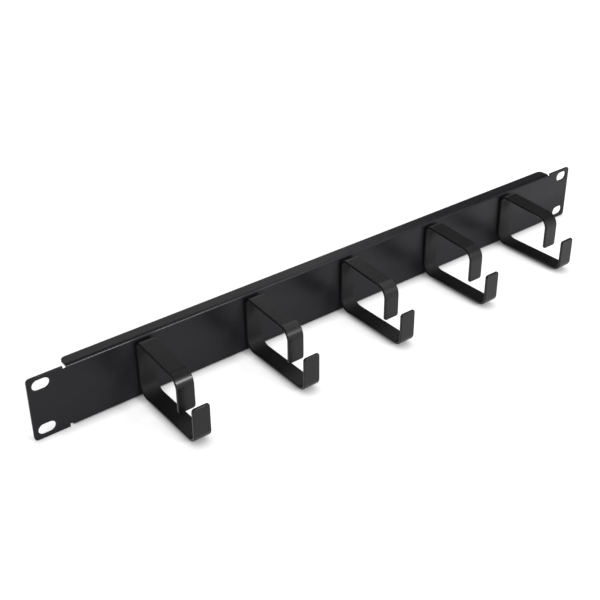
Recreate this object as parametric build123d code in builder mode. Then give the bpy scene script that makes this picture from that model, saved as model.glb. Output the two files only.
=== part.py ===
from build123d import *

import os
from math import radians, tan

# Horizontal cable manager for a 19 inch rack, one unit high: a folded sheet
# steel panel with five open rings of flat steel strip welded to its front.
# The origin is the centre of the rack slot pattern, on the panel's front face.
# X runs along the panel, Y runs back into the rack and Z is up.

# Panel blank and its rack slots. The insets put the slot centres 465.1 mm
# apart along the panel and 31.75 mm apart in height, as rack rails have them.
panel_width = 482.6
panel_height = 44.0
slot_width = 7.5
slot_length = 11.4
slot_end_inset = 8.75
slot_edge_inset = 6.125

# Folded sheet of the panel.
sheet_thickness = 1.5
fold_inner_radius = 0.6
flange_depth = 9.6
flange_corner_radius = 3.5
ear_length = 23.3
ear_corner_radius = 2.5
relief_width = 2.3
relief_depth = 2.2

# Row of rings, from the centre of the outermost ones to the panel's ends.
ring_count = 5
ring_end_inset = 77.4

# Flat strip of the rings, and its bends measured to the outside.
strip_width = 12.2
strip_thickness = 2.0
strip_edge_bevel = 0.4
wide_bend_radius = 9.4
tight_bend_radius = 6.2

# Side outline of a ring, to the outside of the strip. The lower arm is square
# to the panel and the upper arm leans down towards the leg.
ring_top_inset = 0.5
ring_bottom_inset = 1.9
upper_arm_reach = 47.9
lower_arm_reach = 64.1
upper_arm_lean_degrees = 4.4
leg_length = 25.1
lip_length = 25.5
end_corner_radius = 2.0

# Length by which cutting shapes run past the metal.
overrun = 1.0

fold_outer_radius = fold_inner_radius + sheet_thickness
flange_length = panel_width - 2 * (ear_length + relief_width)
slot_span = panel_width - 2 * slot_end_inset
slot_rise = panel_height - 2 * slot_edge_inset
ring_pitch = (panel_width - 2 * ring_end_inset) / (ring_count - 1)


# Panel: the ears and the web are cut from the flat, and the flanges are
# folded back along the top and the bottom between the ears.
with BuildPart() as mounting_panel:
    with BuildSketch(Plane.YZ) as folded_section:
        with Locations((flange_depth / 2, 0)):
            Rectangle(flange_depth, panel_height)
        fillet(folded_section.vertices().group_by(Axis.X)[0], radius=fold_outer_radius)
    extrude(amount=flange_length / 2, both=True)

    # Inside of the channel, open to the back.
    channel_depth = flange_depth - sheet_thickness + overrun
    with BuildSketch(Plane.YZ) as channel_section:
        with Locations((sheet_thickness + channel_depth / 2, 0)):
            Rectangle(channel_depth, panel_height - 2 * sheet_thickness)
        fillet(channel_section.vertices().group_by(Axis.X)[0], radius=fold_inner_radius)
    extrude(amount=flange_length / 2 + overrun, both=True, mode=Mode.SUBTRACT)

    # Free corners at the ends of both flanges.
    flange_ends = mounting_panel.edges().filter_by(Axis.Z).group_by(Axis.Y)[-1]
    fillet(flange_ends, radius=flange_corner_radius)

    # Web, necked in beside each ear by the relief notches.
    with BuildSketch(Plane.XZ):
        Rectangle(panel_width - 2 * ear_length, panel_height - 2 * relief_depth)
    extrude(amount=-sheet_thickness)

    # Ears at full height, with rounded outer corners and the rack slots.
    with BuildSketch(Plane.XZ) as ear_faces:
        with GridLocations(panel_width - ear_length, 0, 2, 1):
            Rectangle(ear_length, panel_height)
        outer_corners = ear_faces.vertices().group_by(Axis.X)
        fillet(outer_corners[0] + outer_corners[-1], radius=ear_corner_radius)
        with GridLocations(slot_span, slot_rise, 2, 2):
            SlotOverall(slot_length, slot_width, mode=Mode.SUBTRACT)
    extrude(amount=-sheet_thickness)

mounting_panel.part.label = "mounting_panel"


# Ring: one flat strip, bent four times along the middle of its thickness.
# Its back leg lies on the panel, the upper arm ends in a leg bent down and
# the longer lower arm ends in a lip bent up. Leg and lip pass each other in
# height, and cables slip in between them.
with BuildPart() as ring_form:
    half_strip = strip_thickness / 2
    wide_bend = wide_bend_radius - half_strip
    tight_bend = tight_bend_radius - half_strip
    top_at_panel = panel_height / 2 - ring_top_inset - half_strip
    arm_drop = (upper_arm_reach - strip_thickness) * tan(radians(upper_arm_lean_degrees))
    top_at_leg = top_at_panel - arm_drop
    bottom_level = -panel_height / 2 + ring_bottom_inset + half_strip
    leg_end = top_at_leg + half_strip - leg_length
    lip_end = bottom_level - half_strip + lip_length
    with BuildLine(Plane.YZ):
        strip_path = FilletPolyline(
            (half_strip - upper_arm_reach, leg_end),
            (half_strip - upper_arm_reach, top_at_leg),
            (-half_strip, top_at_panel),
            (-half_strip, bottom_level),
            (half_strip - lower_arm_reach, bottom_level),
            (half_strip - lower_arm_reach, lip_end),
            radius=[wide_bend, tight_bend, wide_bend, tight_bend],
        )
    with BuildSketch(Plane(origin=strip_path @ 0, x_dir=(1, 0, 0), z_dir=strip_path % 0)):
        Rectangle(strip_width, strip_thickness)
    sweep(path=strip_path)

    # Corners of the two free ends, seen from the front.
    across = ring_form.edges().filter_by(Axis.Y)
    leg_corners = across.sort_by_distance(strip_path @ 0)[:2]
    lip_corners = across.sort_by_distance(strip_path @ 1)[:2]
    fillet(leg_corners + lip_corners, radius=end_corner_radius)

    # Broken edges of the strip, all along both of its sides.
    side_faces = ring_form.faces().filter_by(Axis.X)
    chamfer(side_faces.edges(), length=strip_edge_bevel)

cable_rings = []
for ring_number, ring_place in enumerate(GridLocations(ring_pitch, 0, ring_count, 1), start=1):
    cable_ring = ring_form.part.moved(ring_place)
    cable_ring.label = f"cable_ring_{ring_number}"
    cable_rings.append(cable_ring)

os.makedirs("parts", exist_ok=True)
for piece in [mounting_panel.part, *cable_rings]:
    export_step(piece, f"parts/{piece.label}.step")
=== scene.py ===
import bpy
from math import pi, radians
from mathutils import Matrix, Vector


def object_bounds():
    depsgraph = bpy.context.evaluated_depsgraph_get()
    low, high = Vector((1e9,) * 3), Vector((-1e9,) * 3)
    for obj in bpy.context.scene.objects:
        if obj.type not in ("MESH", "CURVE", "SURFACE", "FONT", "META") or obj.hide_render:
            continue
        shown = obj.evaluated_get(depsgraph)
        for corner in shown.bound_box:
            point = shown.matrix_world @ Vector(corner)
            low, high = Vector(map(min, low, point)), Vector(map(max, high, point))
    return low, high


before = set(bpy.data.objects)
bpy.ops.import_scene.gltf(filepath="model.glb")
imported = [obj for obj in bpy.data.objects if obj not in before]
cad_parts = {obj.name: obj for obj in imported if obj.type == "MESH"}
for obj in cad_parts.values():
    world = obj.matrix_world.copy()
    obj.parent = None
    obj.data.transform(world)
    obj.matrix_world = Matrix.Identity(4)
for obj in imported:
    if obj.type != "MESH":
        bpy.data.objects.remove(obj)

cad_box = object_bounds()


# Mounting panel. One laser-cut blank of 1.5 mm sheet steel, folded back along
# its top and bottom edges, then degreased, hung on a line and powder coated in
# fine satin black. The cut edges are broken before coating.
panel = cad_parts["mounting_panel"]
panel_edge_break = 0.00022


def add_node(tree, kind, place, inputs=None, **settings):
    """A node at its place in the tree, with its settings and unlinked inputs."""
    node = tree.nodes.new(kind)
    node.location = place
    for name, value in settings.items():
        setattr(node, name, value)
    for name, value in (inputs or {}).items():
        node.inputs[name].default_value = value
    return node


def new_group(name, inputs, outputs):
    """An empty node group with float inputs and their defaults, and outputs."""
    tree = bpy.data.node_groups.new(name, "ShaderNodeTree")
    for label, default in inputs.items():
        socket = tree.interface.new_socket(
            label, in_out="INPUT", socket_type="NodeSocketFloat")
        socket.default_value = default
    for label in outputs:
        tree.interface.new_socket(
            label, in_out="OUTPUT", socket_type="NodeSocketFloat")
    entry = add_node(tree, "NodeGroupInput", (-900, 0))
    leave = add_node(tree, "NodeGroupOutput", (700, 0))
    return tree, entry, leave


def powder_skin_group():
    """The skin of a cured powder coat: fine grain on a soft orange peel, and
    the broad unevenness of its gloss."""
    grain_part, peel_part = 0.45, 0.55
    mottle_low, mottle_high = 0.3, 0.7
    tree, entry, leave = new_group(
        "powder_skin",
        {"Grain per metre": 2600.0, "Peel per metre": 620.0, "Mottle per metre": 28.0},
        ["Height", "Mottle"])
    link = tree.links.new
    place = add_node(tree, "ShaderNodeTexCoord", (-900, -260))
    grain = add_node(tree, "ShaderNodeTexNoise", (-600, 200),
                     {"Detail": 2.0, "Roughness": 0.6})
    peel = add_node(tree, "ShaderNodeTexVoronoi", (-600, -60),
                    {"Smoothness": 0.8}, feature="SMOOTH_F1")
    mottle = add_node(tree, "ShaderNodeTexNoise", (-600, -340),
                      {"Detail": 4.0, "Roughness": 0.55})
    for texture, rate in ((grain, "Grain per metre"), (peel, "Peel per metre"),
                          (mottle, "Mottle per metre")):
        link(place.outputs["Object"], texture.inputs["Vector"])
        link(entry.outputs[rate], texture.inputs["Scale"])
    grain_height = add_node(tree, "ShaderNodeMath", (-300, 200), operation="MULTIPLY")
    grain_height.inputs[1].default_value = grain_part
    peel_height = add_node(tree, "ShaderNodeMath", (-300, -60), operation="MULTIPLY")
    peel_height.inputs[1].default_value = peel_part
    height = add_node(tree, "ShaderNodeMath", (0, 100), operation="ADD")
    spread = add_node(tree, "ShaderNodeMapRange", (-300, -340),
                      {"From Min": mottle_low, "From Max": mottle_high})
    link(grain.outputs["Fac"], grain_height.inputs[0])
    link(peel.outputs["Distance"], peel_height.inputs[0])
    link(grain_height.outputs[0], height.inputs[0])
    link(peel_height.outputs[0], height.inputs[1])
    link(mottle.outputs["Fac"], spread.inputs["Value"])
    link(height.outputs[0], leave.inputs["Height"])
    link(spread.outputs["Result"], leave.inputs["Mottle"])
    return tree


def edge_rub_group():
    """Where the coat thins over an edge and handling burnishes it: a mask that
    is 1 on the edge, broken up along its length."""
    rub_reach = 0.0007
    facing_on_flat, facing_on_edge = 0.995, 0.9
    breaks_low, breaks_high, least_rub = 0.35, 0.65, 0.25
    tree, entry, leave = new_group(
        "edge_rub", {"Breaks per metre": 160.0, "Strength": 1.0}, ["Rub"])
    link = tree.links.new
    place = add_node(tree, "ShaderNodeTexCoord", (-900, -260))
    rounded = add_node(tree, "ShaderNodeBevel", (-600, 240),
                       {"Radius": rub_reach}, samples=6)
    surface = add_node(tree, "ShaderNodeNewGeometry", (-600, 60))
    facing = add_node(tree, "ShaderNodeVectorMath", (-400, 160),
                      operation="DOT_PRODUCT")
    edge = add_node(tree, "ShaderNodeMapRange", (-200, 160),
                    {"From Min": facing_on_flat, "From Max": facing_on_edge})
    breaks = add_node(tree, "ShaderNodeTexNoise", (-600, -200), {"Detail": 3.0})
    worn = add_node(tree, "ShaderNodeMapRange", (-200, -140),
                    {"From Min": breaks_low, "From Max": breaks_high,
                     "To Min": least_rub})
    broken = add_node(tree, "ShaderNodeMath", (80, 60), operation="MULTIPLY")
    amount = add_node(tree, "ShaderNodeMath", (320, 60), operation="MULTIPLY")
    link(rounded.outputs["Normal"], facing.inputs[0])
    link(surface.outputs["Normal"], facing.inputs[1])
    link(facing.outputs["Value"], edge.inputs["Value"])
    link(place.outputs["Object"], breaks.inputs["Vector"])
    link(entry.outputs["Breaks per metre"], breaks.inputs["Scale"])
    link(breaks.outputs["Fac"], worn.inputs["Value"])
    link(edge.outputs["Result"], broken.inputs[0])
    link(worn.outputs["Result"], broken.inputs[1])
    link(broken.outputs[0], amount.inputs[0])
    link(entry.outputs["Strength"], amount.inputs[1])
    link(amount.outputs[0], leave.inputs["Rub"])
    return tree


def recess_group():
    """Where powder hardly reaches, in the roots of the rings and on the web
    between their arms: a mask that rises to 1 where the coat cures dull."""
    open_face, deep_corner = 0.98, 0.84
    root_outer, root_inner = -0.016, -0.008
    tree, entry, leave = new_group(
        "recess", {"Reach": 0.03, "Strength": 1.0}, ["Recess"])
    link = tree.links.new
    openness = add_node(tree, "ShaderNodeAmbientOcclusion", (-600, 100), samples=16)
    closed = add_node(tree, "ShaderNodeMapRange", (-300, 100),
                      {"From Min": open_face, "From Max": deep_corner})
    place = add_node(tree, "ShaderNodeTexCoord", (-900, -260))
    stand_off = add_node(tree, "ShaderNodeSeparateXYZ", (-600, -200))
    root = add_node(tree, "ShaderNodeMapRange", (-300, -200),
                    {"From Min": root_outer, "From Max": root_inner})
    deep = add_node(tree, "ShaderNodeMath", (0, 0), operation="MULTIPLY")
    amount = add_node(tree, "ShaderNodeMath", (300, 0), operation="MULTIPLY")
    link(entry.outputs["Reach"], openness.inputs["Distance"])
    link(openness.outputs["AO"], closed.inputs["Value"])
    link(place.outputs["Object"], stand_off.inputs["Vector"])
    link(stand_off.outputs["Y"], root.inputs["Value"])
    link(closed.outputs["Result"], deep.inputs[0])
    link(root.outputs["Result"], deep.inputs[1])
    link(deep.outputs[0], amount.inputs[0])
    link(entry.outputs["Strength"], amount.inputs[1])
    link(amount.outputs[0], leave.inputs["Recess"])
    return tree


powder_skin = powder_skin_group()
edge_rub = edge_rub_group()
recess = recess_group()


def powder_coat(name, film, thin_film, specular, roughness, roughness_spread,
                dull_recess, bump):
    """Satin black powder coat on steel: its skin, its gloss and its edges."""
    skin_depth = 0.00006
    coat = bpy.data.materials.new(name)
    coat.use_nodes = True
    tree = coat.node_tree
    tree.nodes.clear()
    link = tree.links.new
    skin = add_node(tree, "ShaderNodeGroup", (-800, -120), node_tree=powder_skin)
    rub = add_node(tree, "ShaderNodeGroup", (-800, 160), node_tree=edge_rub)
    corner = add_node(tree, "ShaderNodeGroup", (-800, -320), node_tree=recess)
    corner.inputs["Strength"].default_value = dull_recess
    tint = add_node(tree, "ShaderNodeMix", (-420, 240), data_type="RGBA")
    tint.inputs["A"].default_value = (*film, 1.0)
    tint.inputs["B"].default_value = (*thin_film, 1.0)
    gloss = add_node(tree, "ShaderNodeMapRange", (-600, 0),
                     {"To Min": roughness, "To Max": roughness + roughness_spread})
    dulled = add_node(tree, "ShaderNodeMath", (-420, 0), operation="ADD")
    relief = add_node(tree, "ShaderNodeBump", (-420, -280),
                      {"Strength": bump, "Distance": skin_depth})
    shader = add_node(tree, "ShaderNodeBsdfPrincipled", (0, 120),
                      {"Specular IOR Level": specular})
    output = add_node(tree, "ShaderNodeOutputMaterial", (320, 120))
    link(rub.outputs["Rub"], tint.inputs["Factor"])
    link(skin.outputs["Mottle"], gloss.inputs["Value"])
    link(skin.outputs["Height"], relief.inputs["Height"])
    link(gloss.outputs["Result"], dulled.inputs[0])
    link(corner.outputs["Recess"], dulled.inputs[1])
    link(tint.outputs["Result"], shader.inputs["Base Color"])
    link(dulled.outputs[0], shader.inputs["Roughness"])
    link(relief.outputs["Normal"], shader.inputs["Normal"])
    link(shader.outputs["BSDF"], output.inputs["Surface"])
    return coat


def even_shading_group():
    """Shades a mesh smooth, for the weighted normals that follow."""
    tree = bpy.data.node_groups.new("even_shading", "GeometryNodeTree")
    for way in ("INPUT", "OUTPUT"):
        tree.interface.new_socket(
            "Mesh", in_out=way, socket_type="NodeSocketGeometry")
    entry = add_node(tree, "NodeGroupInput", (-300, 0))
    smooth = add_node(tree, "GeometryNodeSetShadeSmooth", (0, 0))
    leave = add_node(tree, "NodeGroupOutput", (300, 0))
    tree.links.new(entry.outputs["Mesh"], smooth.inputs["Geometry"])
    tree.links.new(smooth.outputs["Geometry"], leave.inputs["Mesh"])
    return tree


even_shading = even_shading_group()


def break_edges(piece, width):
    """Rounds the cut edges of a steel piece and evens its shading."""
    same_point = 0.000002
    flat_within = radians(0.6)
    sharp_beyond = radians(30)
    weld = piece.modifiers.new("weld", "WELD")
    weld.merge_threshold = same_point
    merge = piece.modifiers.new("flats", "DECIMATE")
    merge.decimate_type = "DISSOLVE"
    merge.angle_limit = flat_within
    bevel = piece.modifiers.new("broken_edges", "BEVEL")
    bevel.width = width
    bevel.segments = 3
    bevel.limit_method = "ANGLE"
    bevel.angle_limit = sharp_beyond
    bevel.use_clamp_overlap = False
    bevel.miter_outer = "MITER_ARC"
    smooth = piece.modifiers.new("even_shading", "NODES")
    smooth.node_group = even_shading
    normals = piece.modifiers.new("normals", "WEIGHTED_NORMAL")
    normals.weight = 60
    normals.keep_sharp = False


panel.material_slots[0].material = powder_coat(
    "panel_powder_coat", film=(0.006, 0.0056, 0.008), thin_film=(0.018, 0.018, 0.02),
    specular=0.235, roughness=0.26, roughness_spread=0.05, dull_recess=0.25, bump=0.3)
break_edges(panel, panel_edge_break)


# Cable rings. Each is a length of 12 mm flat steel bar with rolled edges, cut,
# rounded at its two ends and bent four times on a press, then spot welded by
# its back leg to the panel before both are coated together.
rings = [node for name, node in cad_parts.items() if name.startswith("cable_ring")]
ring_edge_break = 0.00016
# The rings' coat is the panel's coat drawn a little lighter and glossier. This is painted
# light for the brighter light on the rings' front faces.
ring_coat_painted_lighter = powder_coat(
    "ring_powder_coat", film=(0.007, 0.007, 0.0072), thin_film=(0.02, 0.02, 0.02),
    specular=0.28, roughness=0.25, roughness_spread=0.05, dull_recess=0.45, bump=0.3)
for ring in rings:
    ring.material_slots[0].material = ring_coat_painted_lighter
    break_edges(ring, ring_edge_break)


# Studio floor. A wide sheet of pale matt paper, which the panel stands on by its
# lower edge. Seen straight or in gloss it glows nearly white, a little more so far
# from the panel. Its glow carries a painted contact shadow, darker where the object comes
# near.
floor_gap = 0.0002
floor_level = cad_box[0].z - floor_gap
floor_reach = 4.0
floor_albedo = 0.42
near_glow, near_glow_end = 0.84, 0.5
far_glow, far_glow_start = 0.97, 1.6
# Reach of the painted contact shadow in the floor's glow.
painted_shadow_reach = 0.009
floor_mesh = bpy.data.meshes.new("studio_floor")
floor_corners = [
    (x * floor_reach, y * floor_reach, floor_level)
    for x, y in ((-1, -1), (1, -1), (1, 1), (-1, 1))]
floor_mesh.from_pydata(floor_corners, [], [(0, 1, 2, 3)])
floor = bpy.data.objects.new("studio_floor", floor_mesh)
bpy.context.scene.collection.objects.link(floor)


def seen_directly(tree, place):
    """1 for what the camera sees, straight or in gloss or glass, else 0."""
    rays = add_node(tree, "ShaderNodeLightPath", place)
    straight = add_node(tree, "ShaderNodeMath", (place[0] + 200, place[1]),
                        operation="MAXIMUM")
    seen = add_node(tree, "ShaderNodeMath", (place[0] + 400, place[1]),
                    operation="MAXIMUM")
    tree.links.new(rays.outputs["Is Camera Ray"], straight.inputs[0])
    tree.links.new(rays.outputs["Is Glossy Ray"], straight.inputs[1])
    tree.links.new(straight.outputs[0], seen.inputs[0])
    tree.links.new(rays.outputs["Is Transmission Ray"], seen.inputs[1])
    return seen.outputs[0]


paper = bpy.data.materials.new("floor_paper")
paper.use_nodes = True
tree = paper.node_tree
tree.nodes.clear()
matt = add_node(tree, "ShaderNodeBsdfDiffuse", (0, 200),
                {"Color": (floor_albedo, floor_albedo, floor_albedo, 1.0)})
# Painted contact shadow: ambient occlusion dims the floor's glow next to the object.
painted_contact_shadow = add_node(tree, "ShaderNodeAmbientOcclusion", (-300, -300),
                   {"Distance": painted_shadow_reach}, samples=8)
spot = add_node(tree, "ShaderNodeTexCoord", (-700, -500))
distance = add_node(tree, "ShaderNodeVectorMath", (-500, -500), operation="LENGTH")
reach = add_node(tree, "ShaderNodeMapRange", (-300, -500),
                 {"From Min": near_glow_end, "From Max": far_glow_start,
                  "To Min": near_glow, "To Max": far_glow})
glow_under_painted_shadow = add_node(tree, "ShaderNodeMath", (-100, -300), operation="MULTIPLY")
glow_level = add_node(tree, "ShaderNodeMath", (0, -100), operation="MULTIPLY")
glow = add_node(tree, "ShaderNodeEmission", (200, 0), {"Color": (1.0, 1.0, 1.0, 1.0)})
both = add_node(tree, "ShaderNodeAddShader", (400, 100))
output = add_node(tree, "ShaderNodeOutputMaterial", (600, 100))
tree.links.new(spot.outputs["Object"], distance.inputs[0])
tree.links.new(distance.outputs["Value"], reach.inputs["Value"])
tree.links.new(painted_contact_shadow.outputs["AO"], glow_under_painted_shadow.inputs[0])
tree.links.new(reach.outputs["Result"], glow_under_painted_shadow.inputs[1])
tree.links.new(seen_directly(tree, (-600, -100)), glow_level.inputs[0])
tree.links.new(glow_under_painted_shadow.outputs[0], glow_level.inputs[1])
tree.links.new(glow_level.outputs[0], glow.inputs["Strength"])
tree.links.new(matt.outputs[0], both.inputs[0])
tree.links.new(glow.outputs[0], both.inputs[1])
tree.links.new(both.outputs[0], output.inputs["Surface"])
floor_mesh.materials.append(paper)


# Studio sky. It carries the floor's white on above the horizon, where it is
# seen straight or in gloss, and is a dim fill higher up and for all other
# light.
sky_fill, sky_white = 0.1, 1.0
white_up_to, dim_from = 0.14, 0.26
sky = bpy.data.worlds.new("studio_sky")
sky.use_nodes = True
tree = sky.node_tree
tree.nodes.clear()
direction = add_node(tree, "ShaderNodeTexCoord", (-900, 300))
height = add_node(tree, "ShaderNodeSeparateXYZ", (-700, 300))
horizon = add_node(tree, "ShaderNodeMapRange", (-400, 300),
                   {"From Min": dim_from, "From Max": white_up_to},
                   interpolation_type="SMOOTHSTEP")
white = add_node(tree, "ShaderNodeMath", (0, 200), operation="MULTIPLY")
level = add_node(tree, "ShaderNodeMapRange", (200, 0),
                 {"To Min": sky_fill, "To Max": sky_white})
background = add_node(tree, "ShaderNodeBackground", (400, 0),
                      {"Color": (1.0, 1.0, 1.0, 1.0)})
output = add_node(tree, "ShaderNodeOutputWorld", (600, 0))
tree.links.new(direction.outputs["Generated"], height.inputs["Vector"])
tree.links.new(height.outputs["Z"], horizon.inputs["Value"])
tree.links.new(horizon.outputs["Result"], white.inputs[0])
tree.links.new(seen_directly(tree, (-600, 0)), white.inputs[1])
tree.links.new(white.outputs[0], level.inputs["Value"])
tree.links.new(level.outputs["Result"], background.inputs["Strength"])
tree.links.new(background.outputs[0], output.inputs["Surface"])
bpy.context.scene.world = sky


# Studio lights. Five softboxes stand round and over the panel. A strip light
# in front draws the line of light along the left half of the top fold and the
# bands across the upper bends of the left rings.
def softbox(name, place, length, width, brightness, aim=(0.0, 0.0, 0.0)):
    """A rectangular studio light that faces its aim, as bright as white paper
    at a brightness of 1."""
    lamp = bpy.data.lights.new(name, "AREA")
    lamp.shape = "RECTANGLE"
    lamp.size = length
    lamp.size_y = width
    lamp.energy = brightness * pi * length * width
    light = bpy.data.objects.new(name, lamp)
    light.location = place
    light.rotation_mode = "QUATERNION"
    light.rotation_quaternion = (Vector(aim) - Vector(place)).to_track_quat("-Z", "Y")
    light.visible_camera = False
    bpy.context.scene.collection.objects.link(light)


softbox("front_softbox", place=(0.46, -1.30, 0.82), length=1.8, width=1.15,
        brightness=1.5)
softbox("right_softbox", place=(0.80, 0.0, 1.27), length=1.5, width=0.42,
        brightness=2.2)
softbox("back_softbox", place=(0.35, 1.30, 0.87), length=1.5, width=0.68,
        brightness=0.8)
softbox("left_softbox", place=(-1.1, 0.9, 1.1), length=1.2, width=0.9,
        brightness=1.0)
softbox("top_softbox", place=(0.0, 0.0, 1.6), length=1.2, width=0.8,
        brightness=0.6)
softbox("fold_strip", place=(0.52, -1.60, 0.84), length=0.34, width=0.16,
        brightness=112.0, aim=(0.52, 0.0, 0.02))


# Camera. It stands in front of the panel, to its left and above it, with a
# lens somewhat longer than normal. The small shift frames the panel as it lies
# in the picture.
camera_data = bpy.data.cameras.new("camera")
camera_data.sensor_width = 36.0
camera_data.lens = 60.473
camera_data.shift_y = -0.1
camera = bpy.data.objects.new("camera", camera_data)
camera.location = (-0.40386, -0.47107, 0.36509)
camera.rotation_euler = (radians(61.8664), radians(0.4601), radians(-37.8164))
bpy.context.scene.collection.objects.link(camera)
bpy.context.scene.camera = camera
bpy.context.scene.view_settings.view_transform = "Standard"
